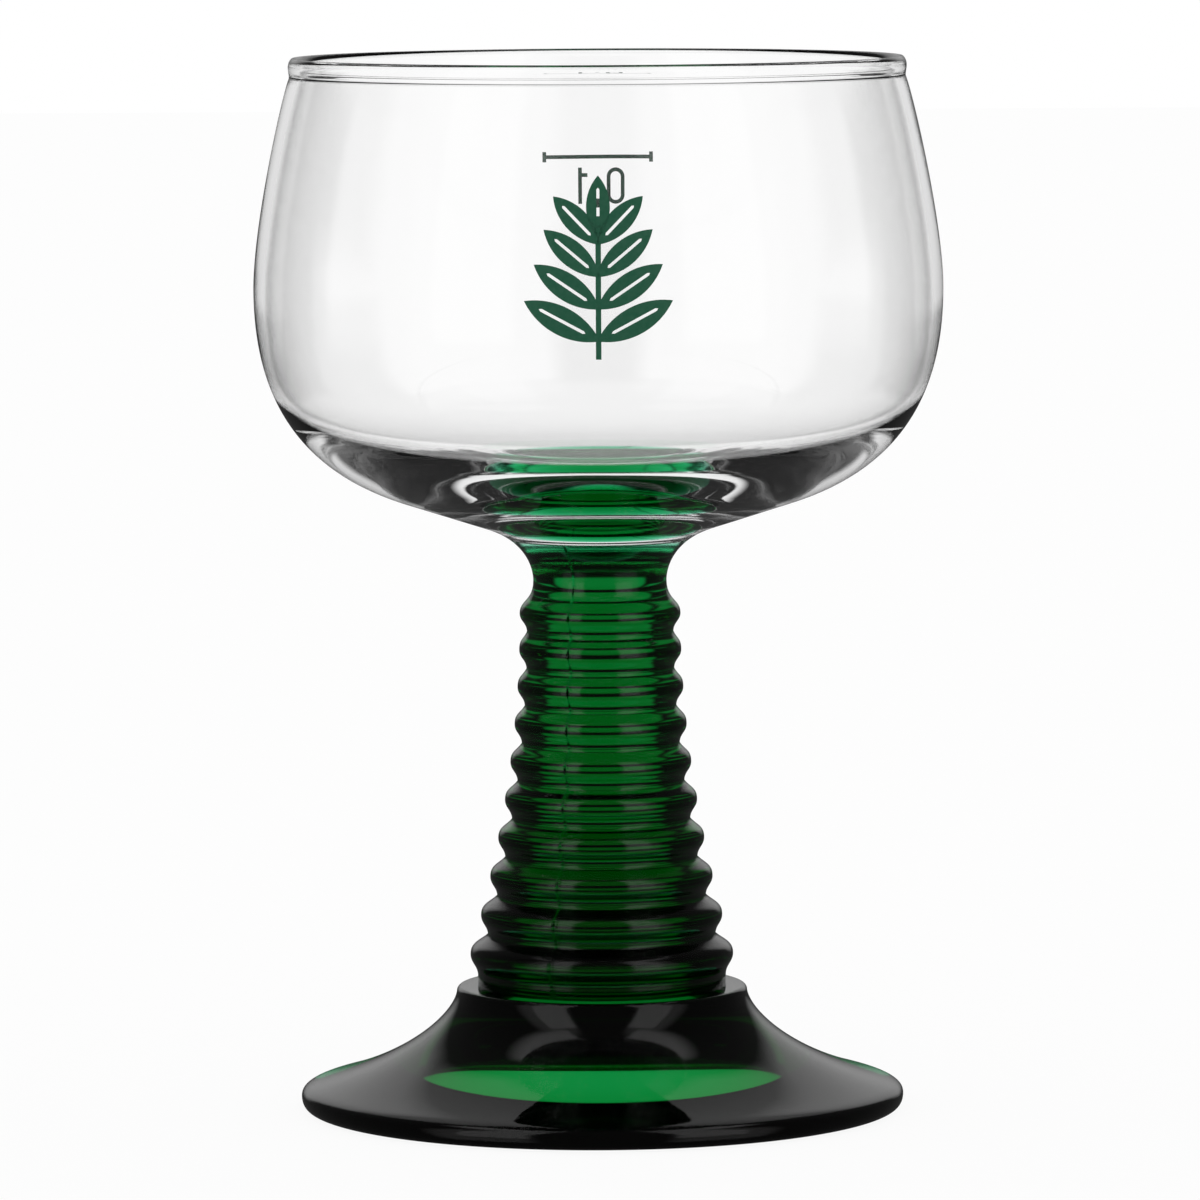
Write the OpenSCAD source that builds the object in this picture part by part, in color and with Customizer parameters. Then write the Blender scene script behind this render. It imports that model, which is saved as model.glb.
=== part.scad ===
// Roemer wine glass: a clear bowl fused to a ringed green stem on a spreading green foot.
// Millimetres, +Z up, origin at the centre of the base; the front faces -Y.

/* [Bowl] */
// Height of the bowl from its joint with the stem to the rim
bowl_h = 48.7; // [46:0.1:51]
// Outer diameter at the widest place
bowl_d = 69.6; // [67:0.1:72]
// Height of the widest place above the joint
widest_h = 25.4; // [24:0.1:27]
// Outer diameter just under the rim bead
lip_d = 62.1; // [60:0.1:64.5]
// Wall thickness
wall_t = 1; // [0.9:0.05:1.3]
// Height of the edge of the dished floor above the joint
floor_h = 5.8; // [5.4:0.1:6.8]
// How far the middle of the floor lies below its edge
floor_dip = 1.3; // [0.9:0.05:1.5]
// Height of the rim bead
bead_h = 2; // [1.6:0.1:2.4]
// How far the rim bead stands out from the wall
bead_out = 0.1; // [0.05:0.05:0.4]

/* [Stem] */
// Number of rings
ring_count = 10; // [8:1:12]
// Mean height of one ring
ring_pitch = 3.86; // [3.5:0.02:4.2]
// How much taller each ring is than the one above it
ring_growth = 0.029; // [0:0.001:0.06]
// Diameter of the top ring
top_ring_d = 16.3; // [15.4:0.1:17]
// Diameter of the bottom ring
low_ring_d = 26.7; // [25.6:0.1:27.6]
// Depth of the groove under the top ring
top_groove = 0.72; // [0.5:0.01:1.05]
// Depth of the groove under the bottom ring
low_groove = 1.25; // [0.9:0.01:1.45]
// Diameter of the smooth neck between the rings and the bowl
neck_d = 13.5; // [12.6:0.1:14.4]
// How far the top of the stem bulges into the bowl
joint_dome_h = 2.1; // [1:0.1:2.8]

/* [Foot] */
// Diameter of the foot
foot_d = 61.2; // [58:0.1:64]
// Height of the flat ledge that the stem stands on
ledge_h = 12.4; // [11.6:0.05:13.4]
// Diameter of the ledge
ledge_d = 29.5; // [28.8:0.1:30.8]
// Height of the foot where its top meets its round edge
edge_h = 2.65; // [2.3:0.05:3]
// Depth of the domed hollow pressed into the underside
hollow_h = 6.95; // [5:0.05:8]
// Diameter of the hollow at the base
hollow_d = 36.7; // [33:0.1:40]

/* [Prints] */
// Thickness of the fired enamel
print_t = 0.1; // [0.06:0.01:0.2]
// Height of the sprig printed on the front
sprig_h = 17.8; // [14:0.1:18.4]
// Height of the middle of the sprig above the joint
sprig_mid_h = 29.2; // [27.5:0.1:31]
// Height of the fill line above the joint
fill_line_h = 37.2; // [35:0.1:38.5]
// Length of the fill line
fill_line_w = 11.8; // [9:0.1:13.5]
// Height of the figures under the fill line
figure_h = 3.8; // [3:0.1:4.8]
// Width of the lines of the fill mark
stroke = 0.4; // [0.3:0.02:0.5]

/* [Hidden] */
$fn = 120;
// Number of steps along each long curve, each half of a ring and each dish
curve_steps = 24;
ring_steps = 9;
dish_steps = 12;
// Heights that follow from the sizes above
low_ring_z = ledge_h + ring_pitch * 5 / 6;
top_ring_z = low_ring_z + (ring_count - 1) * ring_pitch;
neck_rise = 3.33;
neck_z = top_ring_z + neck_rise;
joint_rise = 4.22;
joint_z = neck_z + joint_rise;
rim_z = joint_z + bowl_h;
widest_z = joint_z + widest_h;
bead_z = rim_z - bead_h;
floor_z = joint_z + floor_h;
// Radii that the curves share
bowl_r = bowl_d / 2;
lip_r = lip_d / 2;
neck_r = neck_d / 2;
ledge_r = ledge_d / 2;
foot_r = foot_d / 2;
top_ring_r = top_ring_d / 2;
low_ring_r = low_ring_d / 2;
// The stem meets the flat ledge at the bottom of its last groove
last_groove = 0.75;
stem_foot_r = low_ring_r - last_groove;
// The bowl's underside is a shallow cone between its shoulder and its shank
cone_rise = 0.324;
cone_w = 8.4;
shank_w = 4.85;
shoulder_h = 3.9;
cone_in_r = neck_r + shank_w;
cone_out_r = cone_in_r + cone_w;
cone_out_z = joint_z + shoulder_h;
cone_in_z = cone_out_z - cone_w * cone_rise;
// A unit step outwards along the cone
cone_dir = [1, cone_rise] / norm([1, cone_rise]);

// Points of a cubic curve from a to d, without the last one
function curve(a, b, c, d, n = curve_steps) = [
    for (i = [0 : n - 1])
        let (t = i / n, s = 1 - t)
        s * s * s * a + 3 * s * s * t * b + 3 * s * t * t * c + t * t * t * d
];

// Shallow round face from its middle, raised by bulge, to its edge at the height z
function dish(r, z, bulge) =
    curve([0, z + bulge], [r / 3, z + bulge], [r * 2 / 3, z + bulge * 2 / 3], [r, z], dish_steps);

// How far the bowl's curves run on along their ends before they bend
lip_lead = [0.77, -1.93];
side_lead = 6.27;
shoulder_lead = 10.1;
cone_short = 3.2;
cone_lead = bowl_r - cone_out_r - cone_short;
shank_lead = 4.44;
neck_lead = 1.16;

// Outside of the bowl from under the rim bead to the widest place, then to the cone
function bowl_side(out = 0) = concat(
    curve([lip_r + out, bead_z], [lip_r + out, bead_z] + lip_lead,
          [bowl_r + out, widest_z + side_lead], [bowl_r + out, widest_z]),
    curve([bowl_r + out, widest_z], [bowl_r + out, widest_z - shoulder_lead],
          [cone_out_r + out, cone_out_z] + cone_lead * cone_dir, [cone_out_r + out, cone_out_z])
);

// Sweep from the cone into the neck: the clear shank above the joint, green neck below it
function shank() = curve([cone_in_r, cone_in_z], [cone_in_r, cone_in_z] - shank_lead * cone_dir,
                         [neck_r, neck_z + neck_lead], [neck_r, neck_z]);

// Radius of the shank where it is cut at the joint
shank_above = [for (p = shank()) if (p[1] > joint_z) p];
shank_below = [for (p = shank()) if (p[1] < joint_z) p];
shank_a = shank_above[len(shank_above) - 1];
shank_b = shank_below[0];
joint_r = shank_b[0] + (shank_a[0] - shank_b[0]) * (joint_z - shank_b[1]) / (shank_a[1] - shank_b[1]);
// Fused face that the stem and the bowl share, from its middle outwards
joint_face = concat(dish(joint_r, joint_z, joint_dome_h), [[joint_r, joint_z]]);

// Rounded rim from the inside wall over the top and round the bead
rim_in_r = lip_r - wall_t;
rim_in_z = bead_z + 0.1 * bead_h;
rim_top_r = lip_r - wall_t / 3;
bead_r = lip_r + bead_out;
bead_mid_z = rim_z - 0.45 * bead_h;
rim_steps = 8;
function rim() = concat(
    curve([rim_in_r, rim_in_z], [rim_in_r, rim_in_z + bead_h / 2],
          [rim_in_r + wall_t / 5, rim_z], [rim_top_r, rim_z], rim_steps),
    curve([rim_top_r, rim_z], [rim_top_r + bead_out, rim_z],
          [bead_r, rim_z - 0.2 * bead_h], [bead_r, bead_mid_z], rim_steps),
    curve([bead_r, bead_mid_z], [bead_r, bead_mid_z - bead_h / 4],
          [lip_r - bead_out / 4, bead_z + bead_h / 5], [lip_r, bead_z], rim_steps)
);

// Inside of the bowl from the middle of the floor up to the rim; the floor ends inside the shoulder
floor_in = 3.8;
floor_r = cone_out_r - floor_in;
floor_over = 0.2;
floor_lead = bowl_r - wall_t - floor_r + floor_over;
heel_lead = 9;
function bowl_inside() = concat(
    dish(floor_r, floor_z, -floor_dip),
    curve([floor_r, floor_z], [floor_r, floor_z] + floor_lead * [1, 2 * floor_dip / floor_r],
          [bowl_r - wall_t, widest_z - heel_lead], [bowl_r - wall_t, widest_z]),
    curve([bowl_r - wall_t, widest_z], [bowl_r - wall_t, widest_z + side_lead],
          [rim_in_r, rim_in_z] + lip_lead, [rim_in_r, rim_in_z])
);

// Rings from the top one down: the crests follow a parabola and the grooves get deeper
function crest_r(i) = top_ring_r + (low_ring_r - top_ring_r) * pow(i / (ring_count - 1), 2);
function groove(i) = top_groove + (low_groove - top_groove) * i / (ring_count - 1);
function ring_z(i) = top_ring_z - ring_pitch * i - ring_growth * i * (i - ring_count + 1) / 2;
// Each groove is half way between two crests
groove_at = 0.5;
function crest(k) = [crest_r(k), ring_z(k)];
function groove_low(k) = [crest_r(k + groove_at) - groove(k + groove_at), ring_z(k + groove_at)];
// How far a ring's curve runs on from its crest and from its groove, below the crest and above it
under_lead = 0.79;
under_low_lead = 0.96;
under_low_share = 0.06;
over_lead = 1.1;
over_low_lead = 0.88;
over_low_share = 0.51;
function under(top, low) =
    curve(top, top - [0, under_lead],
          [low.x + under_low_share * (top.x - low.x), low.y + under_low_lead], low, ring_steps);
function over(low, top) =
    curve(low, [low.x + over_low_share * (top.x - low.x), low.y - over_low_lead],
          top + [0, over_lead], top, ring_steps);
function rings() = [
    for (k = [0 : ring_count - 2])
        each concat(under(crest(k), groove_low(k)), over(groove_low(k), crest(k + 1)))
];
// Underside of the last ring
last_ring_h = 2.1;
function last_ring() =
    let (low = [stem_foot_r, low_ring_z - last_ring_h])
    concat(under([low_ring_r, low_ring_z], low), [low]);

module bowl() {
    color([0.93, 0.95, 0.95, 0.4])
    rotate_extrude()
    polygon(concat(
        bowl_inside(),
        rim(),
        bowl_side(),
        [[cone_out_r, cone_out_z]],
        shank_above,
        [for (i = [len(joint_face) - 1 : -1 : 0]) joint_face[i]]
    ));
}

// How far the neck and the top ring run straight before they bend into each other
neck_low_lead = 2.08;
top_ring_lead = 1.3;
module stem() {
    color([0.04, 0.45, 0.16])
    rotate_extrude()
    polygon(concat(
        joint_face,
        shank_below,
        curve([neck_r, neck_z], [neck_r, neck_z - neck_low_lead],
              [top_ring_r, top_ring_z + top_ring_lead], [top_ring_r, top_ring_z], ring_steps),
        rings(),
        last_ring(),
        [[stem_foot_r, ledge_h], [0, ledge_h]]
    ));
}

// Rounding of the ledge's rim
ledge_round = 0.48;
// Radius where the foot's top meets its round edge
edge_w = 2.03;
edge_r = foot_r - edge_w;
// The foot stands on a flat ring inside the rounding of its lower edge
lower_round = 1.16;
ring_out_r = foot_r - lower_round;
// How the foot's top leaves the ledge and how flat it meets the edge
ledge_lead = [0.19, -2.03];
flare_lead = [-9.75, 2.75];
edge_steps = 10;
// Radius of the dome that cuts the hollow
dome_r = (hollow_d * hollow_d / 4 + hollow_h * hollow_h) / (2 * hollow_h);
module foot() {
    color([0.03, 0.33, 0.13])
    difference() {
        rotate_extrude()
        polygon(concat(
            [[0, 0], [0, ledge_h]],
            curve([ledge_r - ledge_round, ledge_h], [ledge_r - ledge_round / 2, ledge_h],
                  [ledge_r, ledge_h - ledge_round / 2], [ledge_r, ledge_h - ledge_round], edge_steps),
            curve([ledge_r, ledge_h - ledge_round], [ledge_r, ledge_h - ledge_round] + ledge_lead,
                  [edge_r, edge_h] + flare_lead, [edge_r, edge_h]),
            curve([edge_r, edge_h], [edge_r, edge_h] - flare_lead / 8,
                  [foot_r, 0.8 * edge_h], [foot_r, edge_h / 2], edge_steps),
            curve([foot_r, edge_h / 2], [foot_r, edge_h / 5],
                  [foot_r - lower_round / 3, 0], [ring_out_r, 0], edge_steps),
            [[ring_out_r, 0]]
        ));
        translate([0, 0, hollow_h - dome_r]) sphere(dome_r);
    }
}

// Thin layer of enamel on the outside of the bowl
module enamel() {
    side = bowl_side();
    outer = bowl_side(print_t);
    rotate_extrude()
    polygon(concat(side, [for (i = [len(outer) - 1 : -1 : 0]) outer[i]]));
}

// A flat drawing in X and Z cut out of the enamel, on the front or on the back
module printed(mid_z, back) {
    intersection() {
        enamel();
        rotate([0, 0, back ? 180 : 0])
        translate([0, -bowl_r / 2, mid_z])
        rotate([90, 0, 0])
        linear_extrude(height = bowl_r)
        children();
    }
}

// Pointed leaf standing on the origin, with a clear slit along its middle
module leaf(length, width) {
    r = (length * length + width * width) / (4 * width);
    slit = 0.29;
    translate([0, length / 2])
    difference() {
        intersection() {
            translate([r - width / 2, 0]) circle(r);
            translate([width / 2 - r, 0]) circle(r);
        }
        translate([-slit / 2, -length * 0.3]) square([slit, length * 0.58]);
    }
}

// Sprig of pointed leaves in pairs on a stalk, its middle at the origin
leaf_pairs = 4;
module sprig() {
    stalk_w = sprig_h * 0.03;
    step = sprig_h * 0.175;
    translate([-stalk_w / 2, -sprig_h / 2]) square([stalk_w, sprig_h * 0.78]);
    translate([0, sprig_h * 0.16]) leaf(sprig_h * 0.34, sprig_h * 0.13);
    for (i = [0 : leaf_pairs - 1], side = [-1, 1])
        translate([side * stalk_w * 0.3, -sprig_h * 0.4 + step * i])
        rotate(side * (62 - 6 * i))
        leaf(sprig_h * (0.47 - 0.035 * i), sprig_h * (0.155 - 0.008 * i));
}

// Upright bar of the fill mark, its foot at the origin
module bar(h) {
    translate([-stroke / 2, 0]) square([stroke, h]);
}

// Stadium outline of the nought at the distance r from its two centres
nought_w = figure_h / 2;
module stadium(r) {
    translate([0, nought_w / 2]) circle(r);
    translate([0, figure_h - nought_w / 2]) circle(r);
    translate([-r, nought_w / 2]) square([2 * r, figure_h - nought_w]);
}

module front_sprig() {
    color([0.07, 0.33, 0.2])
    printed(joint_z + sprig_mid_h, false) sprig();
}

// Line at the height of the stated content, with a tick at each end
tick_h = 2.7 * stroke;
module fill_line() {
    color([0.1, 0.3, 0.25])
    printed(joint_z + fill_line_h, true) {
        translate([-fill_line_w / 2, -stroke / 2]) square([fill_line_w, stroke]);
        for (side = [-1, 1])
            translate([side * (fill_line_w - stroke) / 2, -tick_h / 2]) bar(tick_h);
    }
}

// The content in litres, in figures that stand under the line
figure_z = joint_z + fill_line_h - 1.3 * figure_h;
figure_step = figure_h / 2;
module figure_nought() {
    color([0.1, 0.3, 0.25])
    printed(figure_z, true)
    translate([-figure_step, 0])
    difference() {
        stadium(nought_w / 2);
        stadium(nought_w / 2 - stroke);
    }
}

module figure_comma() {
    color([0.1, 0.3, 0.25])
    printed(figure_z - stroke, true) bar(2.4 * stroke);
}

module figure_one() {
    color([0.1, 0.3, 0.25])
    printed(figure_z, true)
    translate([figure_step, 0]) {
        bar(figure_h);
        translate([-2 * stroke, 0.74 * figure_h]) square([2 * stroke, stroke]);
    }
}

bowl();
stem();
foot();
front_sprig();
fill_line();
figure_nought();
figure_comma();
figure_one();
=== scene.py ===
"""Looks of the roemer wine glass: clear bowl, green ringed stem and foot, printed enamel."""
import math

import bpy
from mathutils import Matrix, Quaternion, Vector


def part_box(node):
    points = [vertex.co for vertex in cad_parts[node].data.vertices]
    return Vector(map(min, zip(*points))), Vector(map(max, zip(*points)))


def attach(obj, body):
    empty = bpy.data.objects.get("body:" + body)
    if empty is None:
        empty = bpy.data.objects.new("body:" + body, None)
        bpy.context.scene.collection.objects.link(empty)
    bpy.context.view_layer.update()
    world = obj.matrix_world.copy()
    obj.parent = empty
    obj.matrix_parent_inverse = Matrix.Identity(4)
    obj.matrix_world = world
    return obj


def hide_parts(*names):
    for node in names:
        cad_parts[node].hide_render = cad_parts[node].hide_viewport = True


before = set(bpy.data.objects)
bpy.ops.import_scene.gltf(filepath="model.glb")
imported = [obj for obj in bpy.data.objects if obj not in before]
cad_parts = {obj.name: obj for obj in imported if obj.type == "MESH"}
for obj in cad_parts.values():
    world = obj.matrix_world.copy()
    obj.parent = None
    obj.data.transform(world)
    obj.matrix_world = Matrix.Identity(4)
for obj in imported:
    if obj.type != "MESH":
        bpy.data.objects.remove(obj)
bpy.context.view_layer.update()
scene = bpy.context.scene
MM = 0.001

# Main sizes in millimetres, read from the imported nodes
bowl_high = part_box("bowl")[1]
stem_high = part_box("stem")[1]
foot_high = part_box("foot")[1]
LEDGE_Z = foot_high[2] / MM
RIM_Z = bowl_high[2] / MM
FOOT_R = foot_high[0] / MM
LOW_RING_R = stem_high[0] / MM
BOWL_R = bowl_high[0] / MM

# Sizes that the boxes don't give
RINGS = 10
PITCH = 3.86
RING_GROWTH = 0.029
TOP_RING_R = 8.15
TOP_RING_Z = LEDGE_Z + PITCH * (RINGS - 1 + 5 / 6)
TOP_GROOVE = 0.72
LOW_GROOVE = 1.25
STEM_FOOT_R = LOW_RING_R - 0.75
NECK_R = 6.75
NECK_Z = TOP_RING_Z + 3.33
JOINT_Z = NECK_Z + 4.22
JOINT_DOME = 2.1
WALL = 1.0
LIP_R = 31.05
BEAD_H = 2.0
BEAD_OUT = 0.1
WIDEST_Z = JOINT_Z + 25.4
FLOOR_Z = JOINT_Z + 5.8
FLOOR_DIP = 1.3
FLOOR_R = 16.2
LEDGE_R = 14.75
EDGE_H = 2.65
EDGE_R = FOOT_R - 2.03
HOLLOW_R = 18.35
HOLLOW_H = 6.95
# Fused faces lie this far apart, so that no two of them coincide
FUSED_GAP = 0.01


def curve(a, b, c, d, steps):
    """Points of a cubic curve from a to d, without the last one."""
    points = []
    for i in range(steps):
        t = i / steps
        s = 1 - t
        weights = (s * s * s, 3 * s * s * t, 3 * s * t * t, t * t * t)
        points.append(tuple(sum(w * p[k] for w, p in zip(weights, (a, b, c, d))) for k in (0, 1)))
    return points


def plus(a, b, scale=1.0):
    """Point a moved along b."""
    return (a[0] + scale * b[0], a[1] + scale * b[1])


def dish(radius, z, bulge, steps=16):
    """Shallow round face from its middle to its edge at the height z."""
    return [(radius * i / steps, z + bulge * (1 - (i / steps) ** 2)) for i in range(steps + 1)]


# Outline of the bowl; a lead is how far a curve's control point lies from its end
BEAD_Z = RIM_Z - BEAD_H
INNER_LIP = (LIP_R - WALL, BEAD_Z + 0.1 * BEAD_H)
LIP_LEAD = (0.77, -1.93)
WIDEST_UP_LEAD = 6.27
WIDEST_DOWN_LEAD = 10.1
FLOOR_LEAD = 17.8
HEEL_LEAD = 9.0
SHANK_W = 4.85
CONE_W = 8.4
CONE_RISE = 0.324
CONE_DIR = (1 / math.hypot(1, CONE_RISE), CONE_RISE / math.hypot(1, CONE_RISE))
CONE_OUT = (NECK_R + SHANK_W + CONE_W, JOINT_Z + 3.9)
CONE_IN = (NECK_R + SHANK_W, CONE_OUT[1] - CONE_W * CONE_RISE)
CONE_OUT_LEAD = 11.6
CONE_IN_LEAD = 4.44
NECK_UP_LEAD = 1.16


def bowl_side(steps=64):
    """Outside of the bowl from the rim's bead to the cone."""
    upper = curve((LIP_R, BEAD_Z), plus((LIP_R, BEAD_Z), LIP_LEAD),
                  (BOWL_R, WIDEST_Z + WIDEST_UP_LEAD), (BOWL_R, WIDEST_Z), steps)
    lower = curve((BOWL_R, WIDEST_Z), (BOWL_R, WIDEST_Z - WIDEST_DOWN_LEAD),
                  plus(CONE_OUT, CONE_DIR, CONE_OUT_LEAD), CONE_OUT, steps)
    return upper + lower + [CONE_OUT]


def shank(steps=48):
    """Curve from the cone to the neck, cut at the joint: points above, points below, joint radius."""
    points = curve(CONE_IN, plus(CONE_IN, CONE_DIR, -CONE_IN_LEAD),
                   (NECK_R, NECK_Z + NECK_UP_LEAD), (NECK_R, NECK_Z), steps)
    above = [p for p in points if p[1] > JOINT_Z]
    below = [p for p in points if p[1] < JOINT_Z]
    share = (above[-1][1] - JOINT_Z) / (above[-1][1] - below[0][1])
    joint_r = above[-1][0] + (below[0][0] - above[-1][0]) * share
    return above, below, joint_r


def rim(steps=12):
    """Rounded bead from the inside of the bowl over the rim to the outside."""
    inner_r, inner_z = INNER_LIP
    top_r = LIP_R - WALL / 3
    bead_r = LIP_R + BEAD_OUT
    bead_z = RIM_Z - 0.45 * BEAD_H
    return (curve((inner_r, inner_z), (inner_r, inner_z + BEAD_H / 2),
                  (inner_r + WALL / 5, RIM_Z), (top_r, RIM_Z), steps)
            + curve((top_r, RIM_Z), (top_r + BEAD_OUT, RIM_Z),
                    (bead_r, RIM_Z - 0.2 * BEAD_H), (bead_r, bead_z), steps)
            + curve((bead_r, bead_z), (bead_r, bead_z - BEAD_H / 4),
                    (LIP_R - BEAD_OUT / 4, BEAD_Z + BEAD_H / 5), (LIP_R, BEAD_Z), steps))


def bowl_inside(steps=64):
    """Inside of the bowl from the middle of its floor to the rim."""
    inner_r = BOWL_R - WALL
    base = dish(FLOOR_R, FLOOR_Z, -FLOOR_DIP)[:-1]
    slope = 2 * FLOOR_DIP / FLOOR_R
    heel = curve((FLOOR_R, FLOOR_Z), plus((FLOOR_R, FLOOR_Z), (1, slope), FLOOR_LEAD),
                 (inner_r, WIDEST_Z - HEEL_LEAD), (inner_r, WIDEST_Z), steps)
    side = curve((inner_r, WIDEST_Z), (inner_r, WIDEST_Z + WIDEST_UP_LEAD),
                 plus(INNER_LIP, LIP_LEAD), INNER_LIP, steps)
    return base + heel + side


# Outline of the stem; a share is how far a groove's control point lies out towards the crest
UNDER_LEAD = 0.79
UNDER_LOW_LEAD = 0.96
UNDER_LOW_SHARE = 0.06
OVER_LEAD = 1.1
OVER_LOW_LEAD = 0.88
OVER_LOW_SHARE = 0.51
NECK_LOW_LEAD = 2.08
TOP_RING_LEAD = 1.3
LAST_RING_H = 2.1


def ring_under(top, low, steps):
    """Curve from a crest down to the groove below it."""
    out = low[0] + UNDER_LOW_SHARE * (top[0] - low[0])
    return curve(top, plus(top, (0, -UNDER_LEAD)), (out, low[1] + UNDER_LOW_LEAD), low, steps)


def ring_over(low, top, steps):
    """Curve from a groove down to the next crest."""
    out = low[0] + OVER_LOW_SHARE * (top[0] - low[0])
    return curve(low, (out, low[1] - OVER_LOW_LEAD), plus(top, (0, OVER_LEAD)), top, steps)


def stem_side(steps=12):
    """Neck and rings, from the neck down to the ledge of the foot."""
    last = RINGS - 1

    def crest(i):
        drop = PITCH * i + RING_GROWTH * i * (i - last) / 2
        return TOP_RING_R + (LOW_RING_R - TOP_RING_R) * (i / last) ** 2, TOP_RING_Z - drop

    points = curve((NECK_R, NECK_Z), (NECK_R, NECK_Z - NECK_LOW_LEAD),
                   plus(crest(0), (0, TOP_RING_LEAD)), crest(0), steps)
    for k in range(last):
        middle = k + 0.5
        low = plus(crest(middle), (-TOP_GROOVE - (LOW_GROOVE - TOP_GROOVE) * middle / last, 0))
        points += ring_under(crest(k), low, steps)
        points += ring_over(low, crest(k + 1), steps)
    low = (STEM_FOOT_R, crest(last)[1] - LAST_RING_H)
    return points + ring_under(crest(last), low, steps) + [low]


# Outline of the foot
LEDGE_ROUND = 0.48
FLARE_TOP_LEAD = (0.19, -2.51)
FLARE_LOW_LEAD = (-9.75, 2.75)
STAND_R = FOOT_R - 1.16
STAND_LEAD = 0.77
FLAT_STEPS = 8
EDGE_STEPS = 16
STAND_STEPS = 6
DOME_STEPS = 48


def foot_outline(steps=64):
    """From the middle of the ledge over the flare and the edge to the middle of the hollow underneath."""
    edge = (EDGE_R, EDGE_H)
    flare_top = (LEDGE_R, LEDGE_Z - LEDGE_ROUND)
    top = [(STEM_FOOT_R * i / FLAT_STEPS, LEDGE_Z) for i in range(FLAT_STEPS + 1)]
    corner = curve((LEDGE_R - LEDGE_ROUND, LEDGE_Z), (LEDGE_R - LEDGE_ROUND / 2, LEDGE_Z),
                   (LEDGE_R, LEDGE_Z - LEDGE_ROUND / 2), flare_top, FLAT_STEPS)
    flare = curve(flare_top, plus((LEDGE_R, LEDGE_Z), FLARE_TOP_LEAD),
                  plus(edge, FLARE_LOW_LEAD), edge, steps)
    upper = curve(edge, plus(edge, FLARE_LOW_LEAD, -1 / 8),
                  (FOOT_R, 0.8 * EDGE_H), (FOOT_R, EDGE_H / 2), EDGE_STEPS)
    lower = curve((FOOT_R, EDGE_H / 2), (FOOT_R, EDGE_H / 5),
                  (STAND_R + STAND_LEAD, 0), (STAND_R, 0), EDGE_STEPS)
    stand = [(STAND_R + (HOLLOW_R - STAND_R) * i / STAND_STEPS, 0.0) for i in range(STAND_STEPS)]
    dome_r = (HOLLOW_R * HOLLOW_R + HOLLOW_H * HOLLOW_H) / (2 * HOLLOW_H)
    half = math.asin(HOLLOW_R / dome_r)
    dome = []
    for i in range(DOME_STEPS + 1):
        angle = half * (1 - i / DOME_STEPS)
        dome.append((dome_r * math.sin(angle), HOLLOW_H - dome_r + dome_r * math.cos(angle)))
    return top + corner + flare + upper + lower + stand + dome


# Meshes
def finish_mesh(name, verts, faces, smooth=True):
    """Object from points in millimetres."""
    mesh = bpy.data.meshes.new(name)
    mesh.from_pydata([Vector(v) * MM for v in verts], [], faces)
    mesh.validate()
    mesh.update()
    if smooth:
        mesh.shade_smooth()
    else:
        mesh.shade_flat()
    piece = bpy.data.objects.new(name, mesh)
    scene.collection.objects.link(piece)
    return piece


ON_AXIS = 1e-6


def lathe(name, outline, angles, seams=None):
    """Turns an outline of (radius, height) points about Z. seams maps an angle's index to a radial shift."""
    verts = []
    rows = []
    for r, z in outline:
        if r < ON_AXIS:
            rows.append([len(verts)])
            verts.append((0.0, 0.0, z))
            continue
        rows.append(range(len(verts), len(verts) + len(angles)))
        for k, angle in enumerate(angles):
            shifted = r + (seams or {}).get(k, 0.0)
            verts.append((shifted * math.cos(angle), shifted * math.sin(angle), z))
    faces = []
    count = len(angles)
    for upper, lower in zip(rows, rows[1:]):
        for k in range(count):
            n = (k + 1) % count
            if len(upper) == 1:
                faces.append((upper[0], lower[k], lower[n]))
            elif len(lower) == 1:
                faces.append((upper[k], lower[0], upper[n]))
            else:
                faces.append((upper[k], lower[k], lower[n], upper[n]))
    return finish_mesh(name, verts, faces)


def mark_fused(piece, is_fused):
    """Face values for the glass shaders: 1 where the face is melted into the next piece."""
    values = piece.data.attributes.new("fused", "FLOAT", "FACE")
    for polygon in piece.data.polygons:
        middle = polygon.center / MM
        fused = is_fused(math.hypot(middle.x, middle.y), middle.z)
        values.data[polygon.index].value = 1.0 if fused else 0.0


def joint_face(r):
    """Height of the fused face between bowl and stem."""
    return JOINT_Z + JOINT_DOME * (1 - (r / JOINT_R) ** 2)


SEGMENTS = 256
TURN = [2 * math.pi * k / SEGMENTS for k in range(SEGMENTS)]
shank_above, shank_below, JOINT_R = shank()

# Bowl, from the middle of its floor over the rim and down to the joint
bowl_outline = bowl_inside() + rim() + bowl_side() + shank_above
bowl_outline += reversed(dish(JOINT_R, JOINT_Z + FUSED_GAP, JOINT_DOME))
bowl = lathe("clear_bowl", bowl_outline, TURN)
mark_fused(bowl, lambda r, z: r < JOINT_R and z < joint_face(r) + 1.5 * FUSED_GAP)
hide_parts("bowl")

# Stem, with a fine groove at each of the two mould seams: degrees from the seam, and shift in radius
SEAM_ANGLES = (math.radians(-113), math.radians(67))
SEAM_GROOVE = ((-1.6, 0.0), (-0.8, -0.15), (0.0, -0.3), (0.8, -0.15), (1.6, 0.0))
seam_points = [((seam + math.radians(step)) % (2 * math.pi), shift)
               for seam in SEAM_ANGLES for step, shift in SEAM_GROOVE]
seam_turn = sorted(TURN + [angle for angle, _ in seam_points])
seam_shifts = {seam_turn.index(angle): shift for angle, shift in seam_points}
stem_outline = dish(JOINT_R, JOINT_Z, JOINT_DOME) + shank_below
stem_outline += stem_side()
ledge_up = LEDGE_Z + FUSED_GAP
stem_outline += [(STEM_FOOT_R * (1 - i / STAND_STEPS), ledge_up) for i in range(STAND_STEPS + 1)]
stem = lathe("green_stem", stem_outline, seam_turn, seam_shifts)
mark_fused(stem, lambda r, z: z > joint_face(r) - 4 * FUSED_GAP or abs(z - ledge_up) < FUSED_GAP / 2)
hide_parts("stem")

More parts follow.
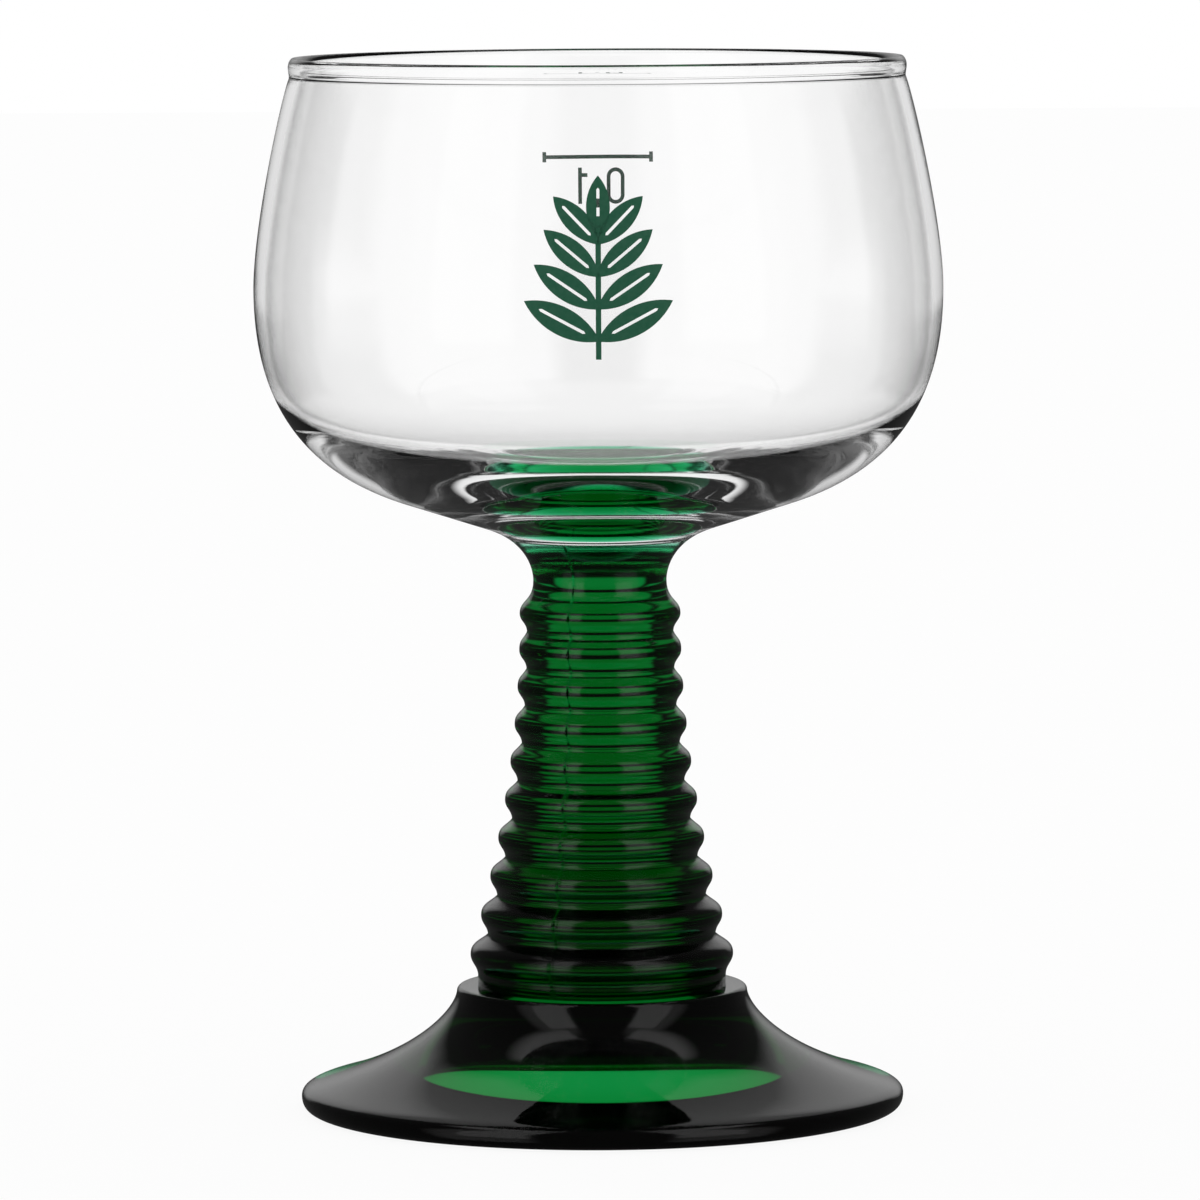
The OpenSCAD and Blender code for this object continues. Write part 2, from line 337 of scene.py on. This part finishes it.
# Foot
foot = lathe("green_foot", foot_outline(), TURN)
mark_fused(foot, lambda r, z: r < STEM_FOOT_R and abs(z - LEDGE_Z) < FUSED_GAP)
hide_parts("foot")

# Printed enamel
side_points = bowl_side()


def side_radius(z):
    """Outer radius of the bowl at a height."""
    for (r0, z0), (r1, z1) in zip(side_points, side_points[1:]):
        if z1 <= z <= z0:
            return r0 + (r1 - r0) * (z0 - z) / (z0 - z1)
    return LIP_R


ENAMEL_OUT = 0.06
ENAMEL_IN = -0.02


class Print:
    """A drawing in X and Z, made of grids of points, laid on the bowl's outside as a thin closed layer."""

    def __init__(self, name, node, mid_z, back):
        self.name = name
        self.node = node
        self.mid_z = mid_z
        self.back = back
        self.verts = []
        self.faces = []

    def place(self, x, z, out):
        """Point of the drawing laid on the bowl, out from its surface."""
        height = self.mid_z + z
        radius = side_radius(height) + out
        depth = -math.sqrt(radius * radius - x * x)
        return (-x, -depth, height) if self.back else (x, depth, height)

    def grid(self, rows, closed=False):
        """Adds a closed layer over a grid: rows of equal length, each a list of (x, z)."""
        count = len(rows)
        width = len(rows[0])
        first = len(self.verts)
        for out in (ENAMEL_OUT, ENAMEL_IN):
            for row in rows:
                for x, z in row:
                    self.verts.append(self.place(x, z, out))
        inner = first + count * width

        def at(i, j, low=False):
            return (inner if low else first) + i * width + j

        steps = range(width if closed else width - 1)
        for i in range(count - 1):
            for j in steps:
                n = (j + 1) % width
                self.faces.append((at(i, j), at(i, n), at(i + 1, n), at(i + 1, j)))
                self.faces.append((at(i, j, True), at(i + 1, j, True), at(i + 1, n, True), at(i, n, True)))
        for j in steps:
            n = (j + 1) % width
            self.faces.append((at(0, n), at(0, j), at(0, j, True), at(0, n, True)))
            self.faces.append((at(count - 1, j), at(count - 1, n),
                               at(count - 1, n, True), at(count - 1, j, True)))
        if not closed:
            for i in range(count - 1):
                self.faces.append((at(i, 0), at(i + 1, 0), at(i + 1, 0, True), at(i, 0, True)))
                self.faces.append((at(i + 1, width - 1), at(i, width - 1),
                                   at(i, width - 1, True), at(i + 1, width - 1, True)))

    def bar(self, x0, x1, z0, z1, step=0.35):
        """Adds a rectangle, split so that it follows the round surface."""
        across = max(1, round((x1 - x0) / step))
        along = max(1, round((z1 - z0) / step))
        self.grid([[(x0 + (x1 - x0) * j / across, z0 + (z1 - z0) * i / along) for j in range(across + 1)]
                   for i in range(along + 1)])

    def make(self):
        piece = finish_mesh(self.name, self.verts, self.faces, smooth=False)
        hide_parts(self.node)
        return piece


SPRIG_Z = JOINT_Z + 29.2
SPRIG_H = 17.8
LEAF_PAIRS = 4
LEAF_SLIT = 0.29
SLIT_FROM = 0.2
SLIT_TO = 0.78


def add_leaf(drawing, foot_x, foot_z, turn, length, width):
    """Two halves of a pointed leaf on each side of a clear slit."""
    arc_r = (length * length + width * width) / (4 * width)
    steps = 36
    across = 4
    for half in (-1, 1):
        rows = []
        for i in range(steps + 1):
            t = length * i / steps
            edge = math.sqrt(max(arc_r * arc_r - (t - length / 2) ** 2, 0.0)) - (arc_r - width / 2)
            edge = max(edge, 0.0)
            inner = LEAF_SLIT / 2 if SLIT_FROM * length <= t <= SLIT_TO * length else 0.0
            inner = min(inner, edge)
            row = []
            for j in range(across + 1):
                x = half * (inner + (edge - inner) * j / across)
                row.append((foot_x + x * math.cos(turn) - t * math.sin(turn),
                            foot_z + x * math.sin(turn) + t * math.cos(turn)))
            rows.append(row)
        drawing.grid(rows)


sprig = Print("front_print", "front_sprig", SPRIG_Z, False)
stalk_w = SPRIG_H * 0.03
sprig.bar(-stalk_w / 2, stalk_w / 2, -SPRIG_H / 2, SPRIG_H * 0.28)
add_leaf(sprig, 0.0, SPRIG_H * 0.16, 0.0, SPRIG_H * 0.34, SPRIG_H * 0.13)
for pair in range(LEAF_PAIRS):
    leaf_z = SPRIG_H * (0.175 * pair - 0.4)
    leaf_turn = math.radians(62 - 6 * pair)
    leaf_length = SPRIG_H * (0.47 - 0.035 * pair)
    leaf_width = SPRIG_H * (0.155 - 0.008 * pair)
    for side in (-1, 1):
        add_leaf(sprig, side * stalk_w * 0.3, leaf_z, side * leaf_turn, leaf_length, leaf_width)
prints = [sprig.make()]

FILL_Z = JOINT_Z + 37.2
FILL_W = 11.8
FIGURE_H = 3.8
STROKE = 0.4
TICK_HALF = 1.35 * STROKE
FLAG_Z = 0.74 * FIGURE_H
FIGURE_Z = FILL_Z - 1.3 * FIGURE_H
line = Print("fill_print", "fill_line", FILL_Z, True)
line.bar(-FILL_W / 2 + STROKE, FILL_W / 2 - STROKE, -STROKE / 2, STROKE / 2)
for side in (-1, 1):
    middle = side * (FILL_W - STROKE) / 2
    line.bar(middle - STROKE / 2, middle + STROKE / 2, -TICK_HALF, TICK_HALF)
prints.append(line.make())


def stadium(r, steps=64):
    """Points around the nought at the distance r from its two centres."""
    low, high = FIGURE_H / 4, FIGURE_H * 3 / 4
    points = []
    for k in range(steps):
        angle = 2 * math.pi * k / steps
        centre = high if math.sin(angle) >= 0 else low
        points.append((-FIGURE_H / 2 + r * math.cos(angle), centre + r * math.sin(angle)))
    return points


nought = Print("nought_print", "figure_nought", FIGURE_Z, True)
nought.grid([stadium(FIGURE_H / 4 - STROKE * i / 2) for i in range(3)], closed=True)
prints.append(nought.make())
comma = Print("comma_print", "figure_comma", FIGURE_Z - STROKE, True)
comma.bar(-STROKE / 2, STROKE / 2, 0.0, 2.4 * STROKE)
prints.append(comma.make())
one = Print("one_print", "figure_one", FIGURE_Z, True)
one.bar(FIGURE_H / 2 - STROKE / 2, FIGURE_H / 2 + STROKE / 2, 0.0, FIGURE_H)
one.bar(FIGURE_H / 2 - 2 * STROKE, FIGURE_H / 2 - STROKE / 2, FLAG_Z, FLAG_Z + STROKE)
prints.append(one.make())


# Materials
class Nodes:
    """Short names for making and linking shader nodes."""

    def __init__(self, tree):
        self.tree = tree

    def new(self, kind, **inputs):
        node = self.tree.nodes.new(kind)
        for name, value in inputs.items():
            self.set(node.inputs[name.replace("_", " ")], value)
        return node

    def set(self, socket, value):
        if isinstance(value, bpy.types.NodeSocket):
            self.tree.links.new(value, socket)
        else:
            socket.default_value = value

    def math(self, operation, *values):
        node = self.tree.nodes.new("ShaderNodeMath")
        node.operation = operation
        for socket, value in zip(node.inputs, values):
            self.set(socket, value)
        return node.outputs[0]

    def ramp(self, value, low, high, to_low=0.0, to_high=1.0):
        node = self.new("ShaderNodeMapRange", Value=value)
        node.interpolation_type = "SMOOTHSTEP"
        limits = {"From Min": low, "From Max": high, "To Min": to_low, "To Max": to_high}
        for name, number in limits.items():
            node.inputs[name].default_value = number
        return node.outputs[0]

    def mix(self, factor, low, high):
        node = self.tree.nodes.new("ShaderNodeMix")
        self.set(node.inputs[0], factor)
        self.set(node.inputs[2], low)
        self.set(node.inputs[3], high)
        return node.outputs[0]


def new_material(name):
    """A material with its node maker, its shader and its output."""
    material = bpy.data.materials.new(name)
    material.use_nodes = True
    tree = material.node_tree
    return material, Nodes(tree), tree.nodes["Principled BSDF"], tree.nodes["Material Output"]


GLASS_IOR = 1.5
WAVE_HEIGHT = 0.00002
CLEAR_WAVES = 60.0
GREEN_WAVES = 90.0


def glass(name, wave_scale, softness=0.0):
    """Glass whose surface is faintly wavy; melted joints neither bend nor mirror the light."""
    material, nodes, shader, output = new_material(name)
    shader.inputs["Base Color"].default_value = (1.0, 1.0, 1.0, 1.0)
    shader.inputs["Roughness"].default_value = 0.0
    shader.inputs["Transmission Weight"].default_value = 1.0
    fused = nodes.new("ShaderNodeAttribute")
    fused.attribute_name = "fused"
    bend = nodes.math("MULTIPLY_ADD", fused.outputs["Fac"], 1.0 - GLASS_IOR, GLASS_IOR)
    nodes.set(shader.inputs["IOR"], bend)
    place = nodes.new("ShaderNodeTexCoord")
    waves = nodes.new("ShaderNodeTexNoise", Vector=place.outputs["Object"], Scale=wave_scale, Detail=2.0)
    bump = nodes.new("ShaderNodeBump", Height=waves.outputs["Fac"], Strength=1.0, Distance=WAVE_HEIGHT)
    nodes.set(shader.inputs["Normal"], bump.outputs["Normal"])
    if softness:
        rough = nodes.ramp(waves.outputs["Fac"], 0.3, 0.7, 0.7 * softness, softness)
        nodes.set(shader.inputs["Roughness"], rough)
    return material, nodes, output


clear_glass = glass("clear_glass", CLEAR_WAVES)[0]


def green(name, depth, blue, softness):
    """Green glass; the depth is how strongly it takes light away, per metre, blue how much blue passes."""
    material, nodes, output = glass(name, GREEN_WAVES, softness)
    tint = nodes.new("ShaderNodeVolumeAbsorption", Color=(0.04, 0.755, blue, 1.0), Density=depth)
    nodes.set(output.inputs["Volume"], tint.outputs["Volume"])
    return material


stem_glass = green("stem_glass", depth=560.0, blue=0.5, softness=0.1)
foot_glass = green("foot_glass", depth=820.0, blue=0.455, softness=0.05)

enamel, enamel_nodes, enamel_shader, _ = new_material("green_enamel")
enamel_place = enamel_nodes.new("ShaderNodeTexCoord")
grain = enamel_nodes.new("ShaderNodeTexNoise", Vector=enamel_place.outputs["Object"],
                         Scale=2500.0, Detail=4.0)
shade = enamel_nodes.new("ShaderNodeMix")
shade.data_type = "RGBA"
enamel_nodes.set(shade.inputs["Factor"], grain.outputs["Fac"])
shade.inputs["A"].default_value = (0.008, 0.085, 0.042, 1.0)
shade.inputs["B"].default_value = (0.016, 0.125, 0.066, 1.0)
enamel_nodes.set(enamel_shader.inputs["Base Color"], shade.outputs["Result"])
enamel_rough = enamel_nodes.ramp(grain.outputs["Fac"], 0.3, 0.7, 0.28, 0.42)
enamel_nodes.set(enamel_shader.inputs["Roughness"], enamel_rough)

bowl.data.materials.append(clear_glass)
for piece, material in ((stem, stem_glass), (foot, foot_glass)):
    piece.data.materials.append(material)
for piece in prints:
    piece.data.materials.append(enamel)
for piece in (bowl, stem, foot, *prints):
    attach(piece, "root")

# Floor, in metres, just under the foot; the camera sees it nearly white, with the shadow left in
floor_half = 3.0
floor_drop = 0.0002
floor_glow_share = 0.92
floor_mesh = bpy.data.meshes.new("floor")
floor_mesh.from_pydata([(-floor_half, -floor_half, 0), (floor_half, -floor_half, 0),
                        (floor_half, floor_half, 0), (-floor_half, floor_half, 0)], [], [(0, 1, 2, 3)])
floor = bpy.data.objects.new("floor", floor_mesh)
scene.collection.objects.link(floor)
floor.location.z = -floor_drop
floor.visible_transmission = False
floor.visible_glossy = False
floor_material, floor_nodes, floor_shader, floor_output = new_material("floor")
floor_shader.inputs["Base Color"].default_value = (0.97, 0.97, 0.97, 1.0)
floor_shader.inputs["Roughness"].default_value = 0.7
floor_glow = floor_nodes.new("ShaderNodeEmission", Strength=1.0)
floor_path = floor_nodes.new("ShaderNodeLightPath")
floor_mix = floor_nodes.new("ShaderNodeMixShader")
floor_share = floor_nodes.math("MULTIPLY", floor_path.outputs["Is Camera Ray"], floor_glow_share)
floor_nodes.set(floor_mix.inputs[0], floor_share)
floor_nodes.set(floor_mix.inputs[1], floor_shader.outputs["BSDF"])
floor_nodes.set(floor_mix.inputs[2], floor_glow.outputs["Emission"])
floor_nodes.set(floor_output.inputs["Surface"], floor_mix.outputs["Shader"])
floor_mesh.materials.append(floor_material)

# Studio around the glass: patches of light given as azimuth from the back and elevation, in degrees
world = bpy.data.worlds.new("studio")
scene.world = world
world.use_nodes = True
sky = Nodes(world.node_tree)
background = world.node_tree.nodes["Background"]
background.inputs["Color"].default_value = (1.0, 1.0, 1.0, 1.0)
direction = sky.new("ShaderNodeTexCoord")
parts = sky.new("ShaderNodeSeparateXYZ", Vector=direction.outputs["Generated"])
azimuth = sky.math("ABSOLUTE", sky.math("ARCTAN2", parts.outputs["X"], parts.outputs["Y"]))
elevation = sky.math("ARCSINE", parts.outputs["Z"])


def span(value, low, high, soft):
    """1 between two angles, with soft ends."""
    low, high, soft = (math.radians(v) for v in (low, high, soft))
    rise = sky.ramp(value, low - soft, low + soft)
    fall = sky.ramp(value, high - soft, high + soft, 1.0, 0.0)
    return sky.math("MULTIPLY", rise, fall)


def studio(patches, dark):
    """Brightest patch in each direction, or the dark value where there is none."""
    glow = dark
    for az_low, az_high, el_low, el_high, soft, strength in patches:
        across = span(azimuth, az_low, az_high, soft)
        upright = span(elevation, el_low, el_high, soft)
        inside = sky.math("MULTIPLY", across, upright)
        glow = sky.math("MAXIMUM", glow, sky.math("MULTIPLY", inside, strength))
    return glow


# Azimuth from and to, elevation from and to, softness, strength; first as seen through the glass
through = studio([(-9, 31, -99, 8, 3, 1.0),
                  (38, 189, -99, -18, 4, 1.0),
                  (68, 165, -22, 6, 4, 1.0),
                  (95, 165, -22, 45, 6, 1.0)], dark=0.015)
# The same as mirrored by its surface
mirrored = studio([(-9, 27, 3, 36, 8, 0.62),
                   (-9, 27, 0, 56, 5, 0.34),
                   (122, 152, -15, 60, 3, 0.7),
                   (110, 152, -40, 70, 8, 0.3),
                   (45, 140, 60, 78, 5, 0.7)], dark=0.05)
path = sky.new("ShaderNodeLightPath")
light = sky.mix(path.outputs["Is Transmission Ray"], mirrored, through)
light = sky.mix(path.outputs["Is Diffuse Ray"], light, 1.0)
light = sky.mix(path.outputs["Is Camera Ray"], light, 1.0)
sky.set(background.inputs["Strength"], light)

# Camera
camera_data = bpy.data.cameras.new("camera")
camera = bpy.data.objects.new("camera", camera_data)
scene.collection.objects.link(camera)
scene.camera = camera
camera.location = (0.0, -0.8533, 0.13003)
aim = Vector((0.0, 0.0, 0.05165)) - camera.location
roll = Quaternion((0.0, 0.0, 1.0), math.radians(-0.3))
camera.rotation_mode = "QUATERNION"
camera.rotation_quaternion = aim.to_track_quat("-Z", "Y") @ roll
camera_data.lens_unit = "FOV"
camera_data.angle = math.radians(8.113)
camera_data.clip_start = 0.01

scene.view_settings.view_transform = "Standard"
scene.cycles.max_bounces = 32
scene.cycles.transmission_bounces = 32
scene.cycles.glossy_bounces = 16
